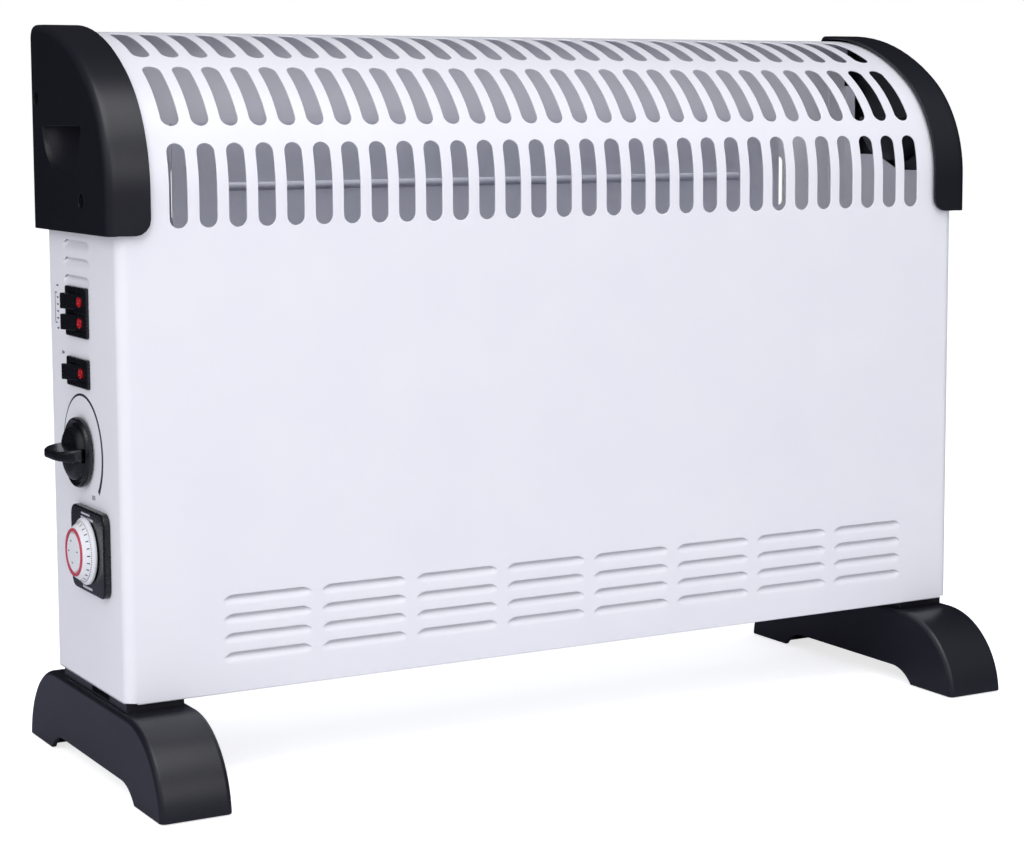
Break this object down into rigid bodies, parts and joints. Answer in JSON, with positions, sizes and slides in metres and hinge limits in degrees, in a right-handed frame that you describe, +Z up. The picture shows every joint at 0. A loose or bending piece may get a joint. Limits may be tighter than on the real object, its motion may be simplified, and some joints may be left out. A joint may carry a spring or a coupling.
{
  "type": "convector heater",
  "caption": "Free-standing convector heater: folded white casing with slotted top, plastic end caps and feet, side rocker switches, thermostat knob, timer dial and turbo fan.",
  "frame": {"origin": "on the floor, below the middle of the whole outline, the knob included", "axes": "+X along the width away from the control side, +Y from the front to the back, +Z up"},
  "size_m": [0.5468, 0.1988, 0.3847],
  "materials": {
    "white_paint": "white powder coat, satin",
    "charcoal_plastic": "charcoal moulded plastic, soft sheen",
    "black_gloss": "black moulded plastic, semi-gloss",
    "zinc_steel": "zinc plated sheet steel",
    "dark_steel": "laminated motor steel",
    "rod_steel": "heating rod sheath",
    "aluminium": "plain aluminium",
    "brass": "bare brass",
    "copper_coil": "varnished winding",
    "ceramic": "glazed ceramic",
    "white_plastic": "white moulded plastic",
    "red_plastic": "clear red lens plastic",
    "ring_plastic": "red moulded plastic",
    "rubber": "soft rubber",
    "wire_sleeve": "wire insulation",
    "dark_screw": "blackened steel"
  },
  "bodies": {
    "heater": {"front_casing": "white_paint", "rear_panel": "white_paint", "bottom_plate": "zinc_steel", "left_end_cap": "charcoal_plastic", "right_end_cap": "charcoal_plastic", "left_foot": "charcoal_plastic", "right_foot": "charcoal_plastic", "foot_pads": "rubber", "heat_reflector": "zinc_steel", "left_bulkhead": "zinc_steel", "right_bulkhead": "zinc_steel", "lower_element_fins": "aluminium", "upper_element_fins": "aluminium", "lower_element_rod": "rod_steel", "upper_element_rod": "rod_steel", "element_bushes": "ceramic", "thermal_cutout": "black_gloss", "thermostat_body": "ceramic", "thermostat_nut": "brass", "double_switch_frame": "black_gloss", "single_switch_frame": "black_gloss", "switch_tabs": "brass", "timer_bezel": "black_gloss", "timer_movement": "white_plastic", "fan_motor_stator": "dark_steel", "fan_motor_coil": "copper_coil", "fan_motor_brackets": "zinc_steel", "fan_shroud": "zinc_steel", "fan_end_bearing": "zinc_steel", "fan_mount": "zinc_steel", "terminal_block": "white_plastic", "terminal_screws": "brass", "cord_gland": "black_gloss", "earth_stud": "brass", "wiring": "wire_sleeve", "cap_screws": "dark_screw", "foot_screws": "zinc_steel", "panel_screws": "zinc_steel", "bulkhead_screws": "zinc_steel"},
    "upper_heat_switch": {"upper_heat_rocker": "black_gloss", "upper_heat_lens": "red_plastic"},
    "lower_heat_switch": {"lower_heat_rocker": "black_gloss", "lower_heat_lens": "red_plastic"},
    "fan_switch": {"fan_rocker": "black_gloss", "fan_lens": "red_plastic"},
    "thermostat": {"thermostat_knob": "black_gloss", "thermostat_shaft": "zinc_steel"},
    "timer": {"timer_dial": "white_plastic", "timer_ring": "ring_plastic", "timer_cap": "white_plastic", "timer_shaft": "zinc_steel"},
    "fan": {"fan_rotor": "rod_steel", "fan_wheel": "aluminium"}
  },
  "joints": [
    {"name": "upper_heat_rock", "type": "hinge", "parent": "heater", "child": "upper_heat_switch", "pos_m": [-0.25025, 0.0065, 0.24465], "axis": [0, 0, 1], "range_deg": [-24, 0]},
    {"name": "lower_heat_rock", "type": "hinge", "parent": "heater", "child": "lower_heat_switch", "pos_m": [-0.25025, 0.0065, 0.23395], "axis": [0, 0, 1], "range_deg": [-24, 0]},
    {"name": "fan_rock", "type": "hinge", "parent": "heater", "child": "fan_switch", "pos_m": [-0.25025, 0.0065, 0.2085], "axis": [0, 0, 1], "range_deg": [-24, 0]},
    {"name": "thermostat_turn", "type": "hinge", "parent": "heater", "child": "thermostat", "pos_m": [-0.25075, 0.005, 0.168], "axis": [-1, 0, 0], "range_deg": [-225, 45]},
    {"name": "timer_turn", "type": "hinge", "parent": "heater", "child": "timer", "pos_m": [-0.25075, -0.009, 0.1195], "axis": [-1, 0, 0], "continuous": true},
    {"name": "fan_spin", "type": "hinge", "parent": "heater", "child": "fan", "pos_m": [0, 0.002, 0.08], "axis": [1, 0, 0], "continuous": true}
  ]
}
